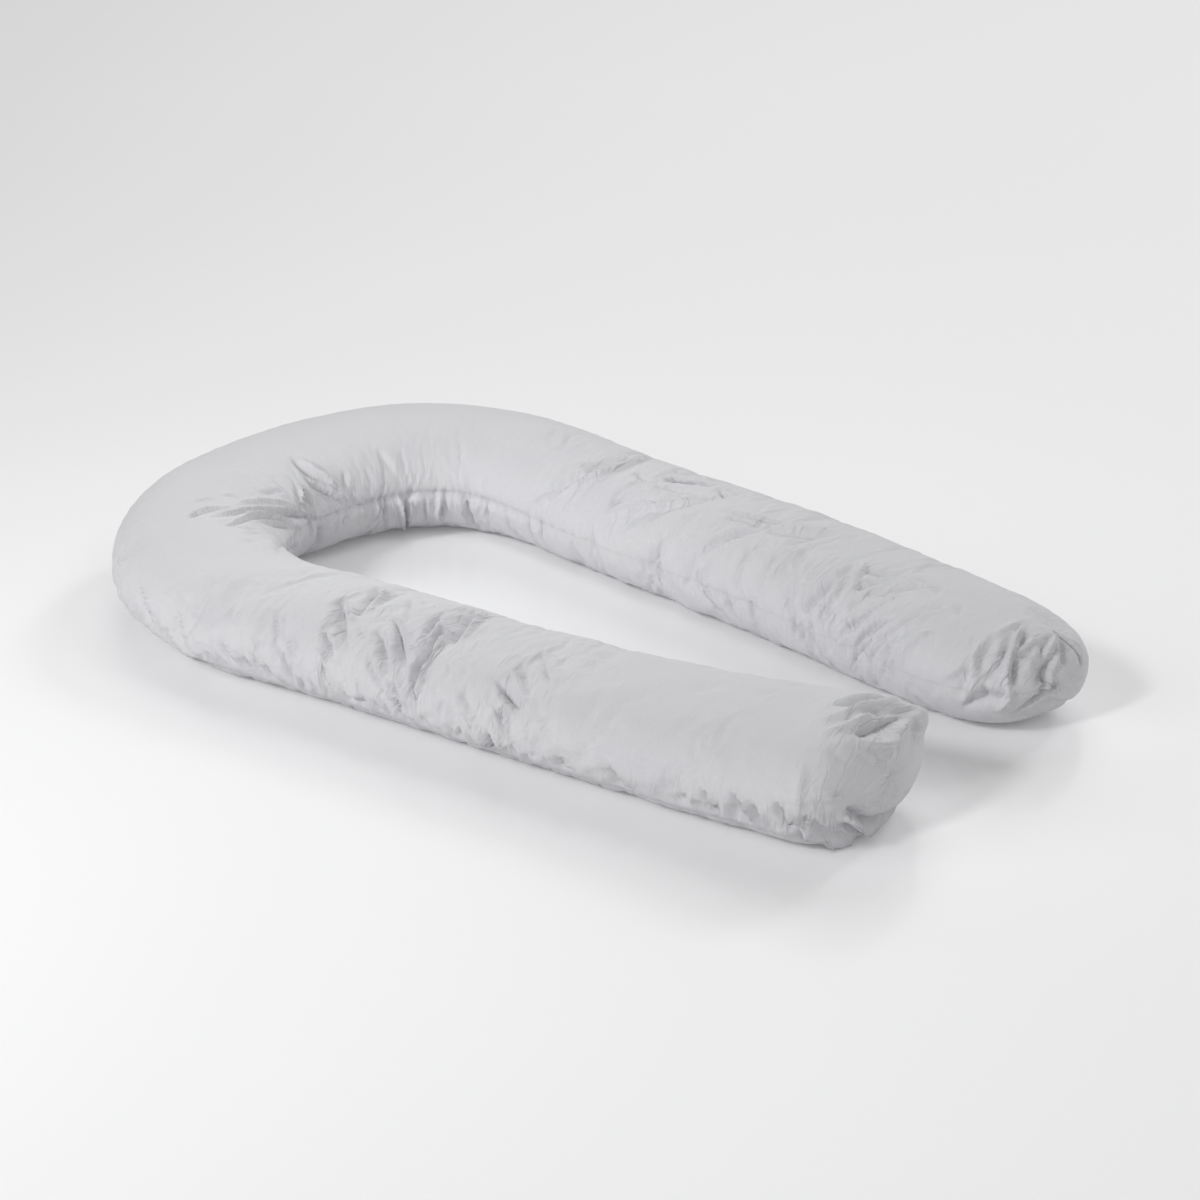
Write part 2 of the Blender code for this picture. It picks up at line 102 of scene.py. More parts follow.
# Folds in the cover. Each runs from its upper or left end through its middle to its
# other end: distance along the tube (m) and angle round it (degrees: 0 inner seam,
# 90 crown, 180 outer seam), three times. Then, in mm, the width of its left and right
# flank, its rise (minus for a hollow) and the crest along its right (minus: its left).
# Last, the share of its length at which it is strongest.
folds = {
    "bend": (
        (1.190, 84, 1.240, 52, 1.385, 11, 4, 3, -5, 3, 0.50),
        (1.246, 46, 1.324, 23, 1.454, 0, 4, 3, -5, 3, 0.50),
        (1.188, 94, 1.210, 85, 1.229, 67, 3, 3, -5, 3, 0.50),
        (1.244, 65, 1.293, 50, 1.402, 13, 4, 4, 4, 0, 0.50),
        (1.150, 79, 1.206, 53, 1.358, 2, 4, 3, -4, 2, 0.55),
        (1.211, 48, 1.248, 27, 1.374, -1, 4, 3, -5, 2, 0.50),
        (1.191, 57, 1.191, 51, 1.190, 45, 2, 2, -3, 2, 0.50),
        (1.204, 64, 1.246, 42, 1.356, 10, 3, 3, 4, 0, 0.50),
        (1.157, 67, 1.150, 62, 1.162, 52, 3, 3, -3, 1, 0.50),
        (1.123, 71, 1.124, 62, 1.146, 48, 3, 3, -2, 1, 0.50),
        (1.092, 73, 1.094, 68, 1.099, 61, 3, 3, -2, 1, 0.50),
        (1.324, 54, 1.347, 47, 1.378, 41, 3, 4, -3, 1, 0.50),
        (1.269, 77, 1.275, 72, 1.277, 65, 3, 2, -2, 1, 0.50),
        (1.246, 91, 1.253, 86, 1.255, 80, 3, 2, -3, 1, 0.50),
        (1.478, 67, 1.481, 43, 1.521, 18, 10, 4, -8, 6, 0.50),
        (1.454, 44, 1.483, 25, 1.534, 4, 10, 4, -8, 6, 0.55),
        (1.418, 42, 1.411, 28, 1.378, 20, 3, 3, 7, 0, 0.55),
        (1.436, 35, 1.416, 25, 1.387, 18, 3, 12, -7, 0, 0.60),
        (1.550, 36, 1.545, 28, 1.530, 20, 4, 5, -3, 1, 0.50),
        (1.063, 59, 1.108, 41, 1.248, 9, 3, 3, -3, 1, 0.50),
        (1.224, 1, 1.315, -10, 1.364, -16, 3, 3, -3, 1, 0.50),
        (1.012, 70, 1.269, -11, 1.383, -30, 3, 3, -4, 2, 0.50),
        (1.443, -5, 1.450, -14, 1.478, -38, 4, 4, -6, 0, 0.50),
        (1.519, -12, 1.530, -8, 1.545, -4, 3, 3, -4, 0, 0.50),
        (1.655, 48, 1.665, 34, 1.685, 20, 10, 6, -3, 1, 0.50),
        (1.545, 14, 1.552, 8, 1.565, 1, 6, 4, -3, 2, 0.60),
    ),
    "innerWall": (
        (1.574, 8, 1.579, 0, 1.581, -11, 3, 3, 4, 0, 0.50),
        (1.630, 0, 1.621, -7, 1.623, -21, 3, 3, 6, 0, 0.50),
        (1.657, -1, 1.653, -14, 1.670, -52, 3, 3, -5, 1, 0.50),
        (1.673, -2, 1.677, -14, 1.688, -41, 3, 3, 3, 0, 0.50),
        (1.691, -1, 1.700, -18, 1.713, -59, 3, 3, 9, 0, 0.50),
        (1.711, -3, 1.711, -19, 1.719, -58, 3, 3, -8, 2, 0.50),
        (1.728, -4, 1.719, -17, 1.719, -41, 3, 3, 6, 0, 0.50),
        (1.760, -4, 1.762, -16, 1.762, -39, 3, 3, -4, 1, 0.50),
        (1.802, -7, 1.800, -17, 1.789, -40, 3, 3, 5, 0, 0.50),
        (1.811, -9, 1.807, -19, 1.802, -40, 3, 3, -5, 1, 0.50),
        (1.851, -3, 1.865, -15, 1.865, -37, 3, 3, 7, 0, 0.50),
        (1.862, -3, 1.883, -13, 1.883, -39, 3, 3, -9, 3, 0.50),
        (1.892, -4, 1.905, -13, 1.901, -35, 3, 3, 3, 0, 0.50),
        (1.923, -4, 1.932, -12, 1.927, -34, 4, 3, -4, 1, 0.50),
        (1.972, -2, 1.985, -11, 1.983, -36, 4, 3, -4, 1, 0.50),
        (2.039, 2, 2.050, -16, 2.052, -45, 4, 3, -6, 1, 0.50),
        (2.084, 4, 2.081, -14, 2.093, -47, 4, 3, -7, 2, 0.50),
        (2.205, 8, 2.215, -4, 2.228, -18, 7, 5, -4, 2, 0.40),
        (2.335, 22, 2.345, -5, 2.372, -33, 10, 6, -6, 3, 0.50),
        (2.437, 14, 2.442, 0, 2.462, -18, 9, 5, -6, 3, 0.50),
        (2.500, 1, 2.508, -14, 2.520, -30, 7, 4, -4, 2, 0.45),
        (2.545, 1, 2.552, -14, 2.565, -30, 7, 4, -4, 2, 0.45),
        (2.635, 6, 2.648, -12, 2.670, -31, 9, 5, -7, 3, 0.45),
        (2.668, 8, 2.678, -8, 2.692, -30, 8, 5, -5, 2, 0.45),
    ),
    "outerSeam": (
        (1.112, 155, 1.083, 172, 1.070, 187, 8, 4, -7, 4, 0.60),
        (1.036, 157, 1.021, 173, 1.008, 190, 6, 3, -6, 3, 0.60),
        (1.007, 146, 0.998, 154, 0.989, 163, 3, 3, -4, 1, 0.50),
        (0.943, 171, 0.931, 184, 0.923, 193, 4, 3, -6, 3, 0.50),
        (0.958, 136, 0.941, 144, 0.927, 151, 4, 3, -2, 1, 0.50),
        (0.912, 178, 0.903, 187, 0.894, 193, 3, 2, -5, 3, 0.50),
        (0.898, 176, 0.889, 186, 0.884, 195, 3, 3, -5, 3, 0.50),
        (0.891, 162, 0.887, 169, 0.887, 178, 3, 2, -4, 2, 0.50),
        (0.853, 166, 0.842, 178, 0.831, 192, 6, 3, -8, 4, 0.50),
        (0.851, 150, 0.838, 161, 0.829, 170, 4, 3, -6, 3, 0.50),
        (0.889, 130, 0.871, 145, 0.864, 162, 4, 4, -3, 1, 0.50),
        (0.806, 190, 0.802, 195, 0.798, 200, 3, 2, -4, 2, 0.50),
        (0.789, 169, 0.777, 182, 0.760, 198, 7, 4, -8, 4, 0.50),
        (0.802, 154, 0.789, 161, 0.778, 168, 3, 3, 3, 0, 0.50),
        (0.804, 135, 0.788, 146, 0.773, 157, 5, 4, -5, 3, 0.50),
        (0.749, 191, 0.737, 196, 0.719, 198, 4, 5, -6, 2, 0.50),
        (1.058, 180, 1.054, 186, 1.050, 193, 7, 4, -4, 2, 0.50),
    ),
    "straightLeg": (
        (0.824, 101, 0.791, 121, 0.757, 145, 11, 5, -10, 4, 0.40),
        (0.811, 75, 0.789, 95, 0.778, 113, 13, 5, -14, 6, 0.50),
        (0.775, 114, 0.755, 125, 0.735, 135, 4, 4, -3, 1, 0.40),
        (0.749, 80, 0.724, 94, 0.708, 108, 7, 6, -5, 2, 0.40),
        (0.730, 120, 0.702, 137, 0.681, 159, 9, 4, -9, 3, 0.40),
        (0.720, 146, 0.695, 166, 0.668, 186, 6, 4, -6, 3, 0.50),
        (0.740, 101, 0.684, 127, 0.641, 174, 6, 4, -10, 3, 0.45),
        (0.679, 137, 0.652, 158, 0.644, 187, 3, 4, 5, 0, 0.50),
        (0.673, 162, 0.659, 172, 0.646, 184, 5, 3, -10, 4, 0.45),
        (0.664, 178, 0.652, 189, 0.637, 200, 6, 3, -9, 4, 0.45),
        (0.688, 84, 0.679, 96, 0.672, 108, 6, 4, -8, 0, 0.50),
        (0.675, 88, 0.668, 101, 0.663, 113, 3, 3, 4, 0, 0.50),
        (0.659, 94, 0.646, 114, 0.632, 142, 12, 4, -21, 7, 0.50),
        (0.653, 130, 0.652, 142, 0.650, 153, 3, 3, 3, 0, 0.50),
        (0.650, 128, 0.635, 150, 0.637, 174, 9, 4, -11, 6, 0.55),
        (0.668, 56, 0.632, 89, 0.617, 111, 17, 4, -22, 7, 0.50),
        (0.572, 153, 0.539, 179, 0.501, 203, 5, 4, 5, 0, 0.50),
        (0.550, 173, 0.528, 194, 0.514, 213, 4, 4, -4, 0, 0.50),
        (0.561, 182, 0.563, 190, 0.568, 202, 3, 3, 3, 0, 0.50),
        (0.523, 133, 0.496, 143, 0.469, 154, 3, 9, -11, 0, 0.50),
        (0.519, 115, 0.487, 131, 0.454, 149, 4, 4, 7, 0, 0.50),
        (0.523, 105, 0.499, 116, 0.478, 127, 6, 6, -2, 0, 0.50),
        (0.498, 153, 0.487, 169, 0.480, 190, 9, 3, -16, 6, 0.50),
        (0.567, 155, 0.521, 186, 0.489, 221, 4, 4, 5, 0, 0.50),
        (0.510, 186, 0.498, 204, 0.490, 222, 6, 4, -10, 3, 0.50),
        (0.503, 182, 0.494, 189, 0.487, 197, 2, 2, 3, 0, 0.50),
        (0.498, 95, 0.471, 109, 0.445, 126, 10, 6, -5, 2, 0.45),
        (0.443, 155, 0.425, 167, 0.414, 182, 5, 4, 2, 0, 0.50),
        (0.590, 164, 0.586, 174, 0.588, 184, 5, 4, -3, 1, 0.50),
        (0.422, 90, 0.416, 96, 0.408, 102, 12, 8, -4, 2, 0.50),
        (0.425, 74, 0.420, 80, 0.412, 87, 18, 12, -4, 1, 0.50),
        (0.157, 63, 0.158, 68, 0.160, 74, 8, 6, -3, 1, 0.50),
        (0.170, 82, 0.172, 89, 0.175, 96, 9, 6, -3, 1, 0.50),
        (0.240, 82, 0.250, 92, 0.262, 103, 14, 12, -3, 1, 0.50),
    ),
    "straightSeam": (
        (0.402, 188, 0.394, 197, 0.383, 207, 10, 5, -6, 4, 0.50),
        (0.327, 183, 0.314, 194, 0.298, 206, 10, 6, -6, 3, 0.50),
        (0.312, 191, 0.304, 201, 0.293, 211, 8, 5, -6, 3, 0.50),
        (0.237, 180, 0.234, 184, 0.231, 188, 6, 5, -3, 1, 0.50),
        (0.217, 190, 0.211, 196, 0.203, 203, 8, 5, -5, 2, 0.50),
        (0.183, 180, 0.173, 190, 0.159, 209, 10, 3, -8, 5, 0.55),
        (0.143, 177, 0.126, 187, 0.123, 209, 12, 3, -9, 5, 0.60),
        (0.110, 180, 0.101, 192, 0.094, 206, 8, 3, -6, 3, 0.50),
        (0.081, 177, 0.066, 186, 0.055, 204, 12, 3, -10, 6, 0.60),
        (0.056, 190, 0.052, 202, 0.055, 222, 6, 3, -8, 5, 0.50),
        (0.056, 144, 0.050, 169, 0.050, 214, 5, 4, 3, 0, 0.50),
        (0.046, 183, 0.043, 191, 0.037, 203, 6, 3, -5, 3, 0.50),
    ),
    "straightEnd": (
        (0.030, 28, 0.013, 32, 0.004, 38, 14, 14, 7, 0, 0.50),
        (0.080, 91, 0.056, 80, 0.042, 62, 8, 5, -10, 4, 0.50),
        (0.080, 107, 0.050, 94, 0.036, 52, 5, 5, 6, 0, 0.60),
        (0.034, 92, 0.024, 74, 0.018, 43, 7, 6, -11, 0, 0.50),
        (0.062, 116, 0.030, 92, 0.020, 30, 4, 4, 6, 0, 0.60),
        (0.026, 106, 0.014, 92, 0.012, 45, 6, 6, -11, 0, 0.45),
        (0.020, 115, 0.004, 88, 0.019, 27, 5, 6, 7, 0, 0.55),
        (0.016, 111, 0.012, 102, 0.011, 90, 3, 3, 3, 0, 0.50),
        (0.004, 77, 0.0004, 117, 0.004, 179, 22, 8, 5, 0, 0.50),
        (0.100, 171, 0.045, 171, 0.012, 167, 6, 8, 3, 0, 0.60),
        (0.010, 186, 0.006, 225, 0.012, 297, 4, 9, -18, -7, 0.60),
        (0.031, 190, 0.027, 207, 0.025, 230, 9, 5, -6, 3, 0.50),
        (0.029, 198, 0.019, 219, 0.020, 246, 7, 4, -6, 3, 0.50),
        (0.017, 202, 0.012, 224, 0.014, 258, 6, 4, -7, 3, 0.45),
        (0.013, 204, 0.010, 227, 0.016, 259, 6, 5, -7, 3, 0.50),
        (0.010, 194, 0.006, 233, 0.005, 259, 3, 3, 5, 0, 0.50),
        (0.027, 171, 0.020, 170, 0.015, 168, 3, 3, 3, 0, 0.50),
        (0.040, 232, 0.031, 246, 0.020, 250, 10, 10, 6, 0, 0.50),
        (0.054, 226, 0.042, 232, 0.033, 236, 6, 6, -6, 0, 0.50),
    ),
    "slantingSide": (
        (2.025, 7, 2.084, 37, 2.126, 66, 4, 10, -6, 0, 0.60),
        (2.112, 66, 2.134, 86, 2.137, 112, 4, 18, -16, 0, 0.50),
        (2.050, 12, 2.150, 62, 2.148, 118, 4, 4, 8, 0, 0.60),
        (2.242, 79, 2.280, 87, 2.345, 90, 18, 12, -12, 0, 0.50),
        (2.222, 103, 2.262, 107, 2.302, 106, 5, 6, 3, 0, 0.45),
        (2.255, 70, 2.295, 76, 2.345, 82, 3, 4, -3, 0, 0.50),
        (2.318, 102, 2.345, 106, 2.385, 106, 10, 14, -4, 0, 0.50),
        (2.211, 31, 2.293, 57, 2.362, 89, 5, 5, 8, 0, 0.60),
        (2.217, 44, 2.244, 57, 2.289, 64, 6, 9, -8, 0, 0.50),
        (2.190, 84, 2.209, 82, 2.224, 84, 4, 5, -6, 0, 0.50),
        (2.327, 97, 2.345, 94, 2.362, 88, 4, 4, -6, 0, 0.50),
        (1.985, 98, 1.995, 86, 2.020, 72, 14, 9, -4, 2, 0.50),
        (2.015, 96, 2.030, 84, 2.050, 70, 12, 8, -4, 2, 0.50),
        (2.432, 10, 2.455, 30, 2.462, 48, 14, 16, -4, 0, 0.40),
    ),
    "slantingLeg": (
        (2.575, 54, 2.610, 37, 2.633, 20, 4, 4, 3, 0, 0.50),
        (2.550, 63, 2.557, 73, 2.564, 88, 6, 6, -4, 0, 0.50),
        (2.564, 54, 2.579, 67, 2.590, 88, 5, 5, 3, 0, 0.50),
        (2.610, 63, 2.613, 55, 2.617, 46, 3, 3, -3, 1, 0.50),
        (2.673, 79, 2.693, 64, 2.704, 48, 4, 4, 5, 0, 0.50),
        (2.693, 62, 2.686, 56, 2.679, 52, 4, 4, 3, 0, 0.50),
        (2.679, 54, 2.688, 36, 2.673, 17, 4, 4, 5, 0, 0.50),
        (2.664, 57, 2.666, 66, 2.664, 76, 6, 6, -5, 0, 0.50),
        (2.666, 56, 2.671, 36, 2.651, 14, 13, 4, -7, 0, 0.50),
        (2.698, 33, 2.693, 22, 2.682, 8, 6, 3, -6, 0, 0.50),
        (2.708, 51, 2.717, 62, 2.733, 75, 5, 5, -7, 0, 0.40),
        (2.702, 67, 2.713, 75, 2.727, 85, 4, 4, -3, 0, 0.50),
        (2.726, 53, 2.751, 66, 2.789, 79, 4, 4, 4, 0, 0.50),
        (2.737, 56, 2.756, 59, 2.769, 66, 3, 3, -2, 0, 0.50),
        (2.495, 68, 2.545, 81, 2.585, 96, 14, 10, -6, 3, 0.45),
        (2.862, 42, 2.830, 20, 2.832, -6, 8, 7, 6, 0, 0.50),
        (2.848, 36, 2.818, 17, 2.820, -8, 9, 6, -6, 0, 0.50),
        (2.800, 40, 2.775, 18, 2.778, -14, 8, 6, -4, 2, 0.50),
        (2.765, 38, 2.742, 14, 2.748, -18, 8, 6, -4, 2, 0.50),
        (2.730, 34, 2.712, 12, 2.720, -20, 8, 6, -4, 2, 0.50),
        (2.798, 84, 2.805, 80, 2.815, 75, 6, 5, -3, 1, 0.50),
        (2.858, 76, 2.864, 71, 2.872, 66, 6, 5, -3, 1, 0.50),
    ),
    "slantingArcs": (
        (2.400, 71, 2.456, 81, 2.508, 92, 3, 3, -3, 1, 0.50),
        (2.409, 64, 2.458, 75, 2.519, 82, 3, 3, -3, 1, 0.50),
        (2.425, 26, 2.452, 54, 2.496, 79, 6, 5, -5, 2, 0.50),
        (2.653, 14, 2.668, 46, 2.684, 73, 4, 10, -9, -4, 0.45),
        (2.646, 6, 2.659, -14, 2.653, -46, 3, 3, -6, 3, 0.50),
        (2.443, 14, 2.456, -7, 2.481, -27, 4, 3, -6, 3, 0.50),
        (2.479, -18, 2.490, -32, 2.497, -46, 3, 3, -6, 2, 0.50),
        (2.492, -6, 2.505, -15, 2.510, -29, 3, 3, -4, 2, 0.50),
        (2.539, 4, 2.552, -4, 2.554, -20, 3, 3, -4, 2, 0.50),
        (2.776, 67, 2.747, 31, 2.704, -14, 5, 4, -5, 2, 0.50),
        (2.800, 41, 2.767, 19, 2.751, -19, 4, 3, -5, 2, 0.50),
        (2.845, 68, 2.814, 38, 2.776, -30, 5, 4, -5, 2, 0.50),
        (2.865, 45, 2.848, 25, 2.842, 2, 4, 4, 4, 0, 0.50),
        (2.834, 18, 2.816, 0, 2.804, -20, 3, 3, -4, 2, 0.50),
        (2.727, 51, 2.760, 69, 2.800, 82, 4, 6, -5, 0, 0.50),
        (2.679, 62, 2.717, 78, 2.787, 84, 4, 6, -4, 0, 0.50),
        (2.789, 16, 2.764, 0, 2.738, -25, 3, 3, -4, 2, 0.50),
        (2.343, 20, 2.356, 5, 2.367, -16, 3, 3, -3, 1, 0.50),
        (2.619, 18, 2.631, 9, 2.648, -4, 3, 3, -3, 1, 0.50),
        (2.637, 74, 2.635, 47, 2.624, 21, 4, 4, -3, 1, 0.50),
        (2.508, 59, 2.510, 36, 2.519, 8, 5, 4, -3, 2, 0.50),
        (2.568, 69, 2.555, 44, 2.561, 14, 6, 5, -4, 2, 0.50),
        (2.443, 44, 2.425, 19, 2.420, -10, 5, 4, -3, 1, 0.50),
    ),
    "slantingEnd": (
        (2.905, 8, 2.927, 22, 2.931, 44, 6, 6, 4, 0, 0.50),
        (2.932, 62, 2.930, 80, 2.926, 94, 4, 4, 3, 0, 0.50),
        (2.930, 70, 2.944, 38, 2.951, 18, 4, 10, -6, -2, 0.50),
        (2.940, 68, 2.958, 48, 2.958, 30, 4, 4, 3, 0, 0.50),
        (2.940, 78, 2.961, 52, 2.961, 16, 7, 5, -9, 0, 0.50),
        (2.926, 96, 2.963, 60, 2.984, 6, 6, 4, 7, 0, 0.55),
        (2.983, 18, 2.983, -8, 2.971, -27, 4, 4, 5, 0, 0.50),
        (2.926, 95, 2.937, 85, 2.946, 76, 4, 3, -4, 0, 0.50),
        (2.966, 62, 2.978, 44, 2.986, 18, 3, 7, -6, 0, 0.50),
        (2.950, 87, 2.957, 78, 2.964, 69, 5, 4, -5, 0, 0.50),
        (2.968, 66, 2.966, 77, 2.962, 89, 3, 3, 4, 0, 0.50),
        (2.973, 59, 2.974, 70, 2.969, 82, 4, 5, -5, 0, 0.50),
        (2.974, 86, 2.984, 60, 2.986, 34, 8, 6, 3, 0, 0.50),
        (2.960, 107, 2.971, 93, 2.981, 82, 6, 3, -6, 0, 0.55),
        (2.958, 112, 2.976, 95, 2.985, 80, 4, 4, 6, 0, 0.60),
        (2.986, 92, 2.993, 68, 2.9965, 20, 6, 6, -7, 0, 0.45),
        (2.988, 92, 2.9965, 60, 2.997, 0, 5, 4, -10, 2, 0.60),
        (2.997, 5, 2.995, -28, 2.980, -38, 4, 4, -7, 2, 0.45),
        (2.971, 106, 2.987, 97, 2.996, 84, 3, 5, 3, 0, 0.50),
        (2.950, 113, 2.971, 119, 2.992, 156, 4, 3, -5, 2, 0.50),
        (2.965, 110, 2.986, 106, 2.995, 104, 5, 5, -4, 0, 0.50),
        (2.938, -18, 2.964, -7, 2.984, -8, 8, 11, -7, 2, 0.50),
        (2.941, 40, 2.948, 12, 2.939, -16, 6, 5, 5, 0, 0.50),
        (2.940, 28, 2.943, 11, 2.937, -8, 10, 5, -6, 0, 0.50),
        (2.959, 16, 2.965, 3, 2.968, -8, 5, 4, -4, 0, 0.50),
        (2.900, 112, 2.940, 118, 2.970, 125, 20, 20, -5, 0, 0.50),
        (2.975, -55, 2.992, -80, 2.985, -120, 20, 20, -8, 0, 0.50),
    ),
}


def blendRows(rows, place):
    rows = np.asarray(rows, dtype=float)
    slope = np.gradient(rows, axis=0)
    first = np.clip(np.floor(place).astype(int), 0, len(rows) - 2)
    step = (place - first)[:, None]
    return ((2 * step**3 - 3 * step**2 + 1) * rows[first] + (step**3 - 2 * step**2 + step) * slope[first]
            + (3 * step**2 - 2 * step**3) * rows[first + 1] + (step**3 - step**2) * slope[first + 1])


# The tube's middle line, measured once: panel values and the distance along it.
tubeValues = blendRows(pillow["panels"], np.linspace(0, len(pillow["panels"]) - 1, 1201))
tubeMiddle = (tubeValues[:, 0:2] + tubeValues[:, 2:4]) / 2
tubeAlong = np.concatenate(([0.0], np.cumsum(np.linalg.norm(np.diff(tubeMiddle, axis=0), axis=1))))
tubeLength = tubeAlong[-1]


def endRounding(along, turn):
    outerShare = (1 - np.cos(turn)) / 2
    share = 1.0
    ends = ((along, pillow["straightEnd"]), (tubeLength - along, pillow["slantingEnd"]))
    for gap, (inner, outer) in ends:
        length, power = (a + (b - a) * outerShare for a, b in zip(inner, outer))
        share = share * (1 - np.clip(1 - gap / length, 0, 1) ** power) ** (1 / power)
    return share


# Points of the smooth filled tube, at distances along it and angles round it.
def tubePoints(along, around):
    along = np.asarray(along, dtype=float)
    turn = np.radians(np.asarray(around, dtype=float))
    row = np.stack([np.interp(along, tubeAlong, tubeValues[:, k]) for k in range(5)], axis=-1)
    fullness = endRounding(along, turn)
    across = np.sign(np.cos(turn)) * np.abs(np.cos(turn)) ** pillow["sectionPower"]
    upward = np.sign(np.sin(turn)) * np.abs(np.sin(turn)) ** pillow["sectionPower"]
    middle, half = (row[..., 0:2] + row[..., 2:4]) / 2, (row[..., 0:2] - row[..., 2:4]) / 2
    plan = middle + half * (fullness * across)[..., None] + np.array(pillow["middle"])
    flat = pillow["underFlat"]
    rise = np.maximum((1 + flat) / 2 * row[..., 4] * (1 + fullness * upward) - flat * row[..., 4], 0)
    return np.concatenate([plan, rise[..., None]], axis=-1)


# Distances along the tube of all rings, packed closer where the cloth is creased and
# spread evenly over the two closed ends.
def ringPlaces():
    spacing = np.array(pillow["ringSpacing"])
    startLength, finishLength = pillow["straightEnd"][1][0], pillow["slantingEnd"][1][0]
    fine = np.linspace(startLength, tubeLength - finishLength, 4000)
    density = np.cumsum(1 / np.interp(fine, spacing[:, 0], spacing[:, 1]))
    ends = []
    for end, size in zip(("straightEnd", "slantingEnd"), pillow["endSpacing"]):
        length, power = pillow[end][1]
        turn = np.linspace(0, math.pi / 2, 2000)
        depth = length * (1 - np.cos(turn) ** (2 / power))
        width = pillow["endHalfWidth"] * np.sin(turn) ** (2 / power)
        reach = np.concatenate(([0.0], np.cumsum(np.hypot(np.diff(depth), np.diff(width)))))
        count = int(reach[-1] / size)
        ends.append(np.interp(np.linspace(0, reach[-1], count + 1)[1:], reach, depth))
    bodyCount = pillow["rings"] - len(ends[0]) - len(ends[1])
    body = np.interp(np.linspace(density[0], density[-1], bodyCount + 2)[1:-1], density, fine)
    return np.concatenate([ends[0], body, tubeLength - ends[1][::-1]])


# Angles of the columns, even over the visible skin and wide apart underneath. They
# start at the bottom, so that the texture's cut lies there, and both seams have one.
def columnAngles():
    dense = np.linspace(-90, 270, 3601)
    section = tubePoints(np.full(dense.shape, 0.5), dense)
    step = np.linalg.norm(np.diff(section, axis=0), axis=1)
    low = section[1:, 2] < pillow["touches"]
    density = np.concatenate(([0.0], np.cumsum(step * np.where(low, pillow["underneath"], 1.0))))
    even = np.interp(np.linspace(0, density[-1], pillow["columns"] + 1), density, dense)
    for seam in (0.0, 180.0):
        even[np.argmin(np.abs(even - seam))] = seam
    return even[:-1]


def outward(grid):
    along = np.gradient(grid, axis=0)
    around = np.roll(grid, -1, axis=1) - np.roll(grid, 1, axis=1)
    normals = np.cross(along, around)
    return normals / np.maximum(np.linalg.norm(normals, axis=2, keepdims=True), 1e-9)


# Smooth random hills between -1 and 1, closed round the tube. `cellsAround` hills fit
# round it and each is `cellAlong` metres long.
def hills(along, around, cellAlong, cellsAround, seed):
    rng = np.random.default_rng(pillow["seed"] * 1000 + seed)
    rows = int(tubeLength / cellAlong) + 4
    turn = rng.uniform(0, 2 * math.pi, (rows, cellsAround))
    u = along / cellAlong + 1
    v = (around + 90) / 360 * cellsAround
    iu, iv = np.floor(u).astype(int), np.floor(v).astype(int)
    fu, fv = u - iu, v - iv
    total = 0
    for du in (0, 1):
        for dv in (0, 1):
            angle = turn[(iu + du) % rows, (iv + dv) % cellsAround]
            slope = np.cos(angle) * (fu - du) + np.sin(angle) * (fv - dv)
            share = [w**3 * (w * (w * 6 - 15) + 10) for w in (1 - abs(fu - du), 1 - abs(fv - dv))]
            total = total + slope * share[0] * share[1]
    return total * 1.5


# A row of the fold tables with its four sizes turned from mm into metres.
def inMetres(row):
    return (*row[:6], *(size / 1000 for size in row[6:10]), row[10])


# Rise of one fold, given in metres, over the grid of smooth points.
def foldRise(row, smooth, normals, places):
    s0, a0, s1, a1, s2, a2, leftWidth, rightWidth, rise, crest, peak = row
    count = pillow["foldPoints"]
    t = np.linspace(0, 1, count)
    along = s0 * (1 - t) ** 2 + (4 * s1 - s0 - s2) * t * (1 - t) + s2 * t**2
    around = a0 * (1 - t) ** 2 + (4 * a1 - a0 - a2) * t * (1 - t) + a2 * t**2
    line = tubePoints(along, around)
    reach = pillow["foldReach"] * max(leftWidth, rightWidth)
    first = max(np.searchsorted(places, along.min() - reach * 1.6) - 1, 0)
    last = min(np.searchsorted(places, along.max() + reach * 1.6) + 1, len(places))
    points = smooth[first:last].reshape(-1, 3)
    facing = normals[first:last].reshape(-1, 3)
    low, high = line.min(axis=0) - reach, line.max(axis=0) + reach
    near = np.where(np.all((points > low) & (points < high), axis=1))[0]
    if not len(near):
        return
    gap = points[near][:, None] - line[None]
    k = np.argmin(np.sum(gap**2, axis=2), axis=1)
    gap = gap[np.arange(len(near)), k]
    course = np.gradient(line, axis=0)
    stepLength = np.linalg.norm(course, axis=1)
    course = (course / stepLength[:, None])[k]
    side = np.cross(facing[near], course)
    side /= np.maximum(np.linalg.norm(side, axis=1, keepdims=True), 1e-9)
    beyond = np.sum(gap * course, axis=1)
    aside = np.sqrt(np.maximum(np.sum(gap**2, axis=1) - beyond**2, 0))
    offset = np.where(np.sum(gap * side, axis=1) < 0, -aside, aside)
    at = np.clip(k / (count - 1) + beyond / stepLength[k] / (count - 1), 0, 1)
    past = np.where((k == 0) | (k == count - 1), beyond, 0)
    strength = np.sin(math.pi * at ** (math.log(0.5) / math.log(peak))) ** pillow["fade"]
    strength = strength * np.exp(-((past / rightWidth) ** 2))
    narrowing = pillow["narrowest"] + (1 - pillow["narrowest"]) * strength
    width = np.where(offset > 0, rightWidth, leftWidth) * narrowing
    value = rise * np.exp(-np.abs(offset / width) ** pillow["creasePower" if rise < 0 else "ridgePower"])
    crestSide = 1 if crest > 0 else -1
    crestWidth = (rightWidth if crest > 0 else leftWidth) * narrowing
    fromCrest = offset - crestSide * pillow["crestAt"] * crestWidth
    value = value + abs(crest) * np.exp(-((fromCrest / (pillow["crestWidth"] * crestWidth)) ** 2))
    block = np.zeros(points.shape[0])
    block[near] = strength * value
    return first, last, block.reshape(last - first, -1)


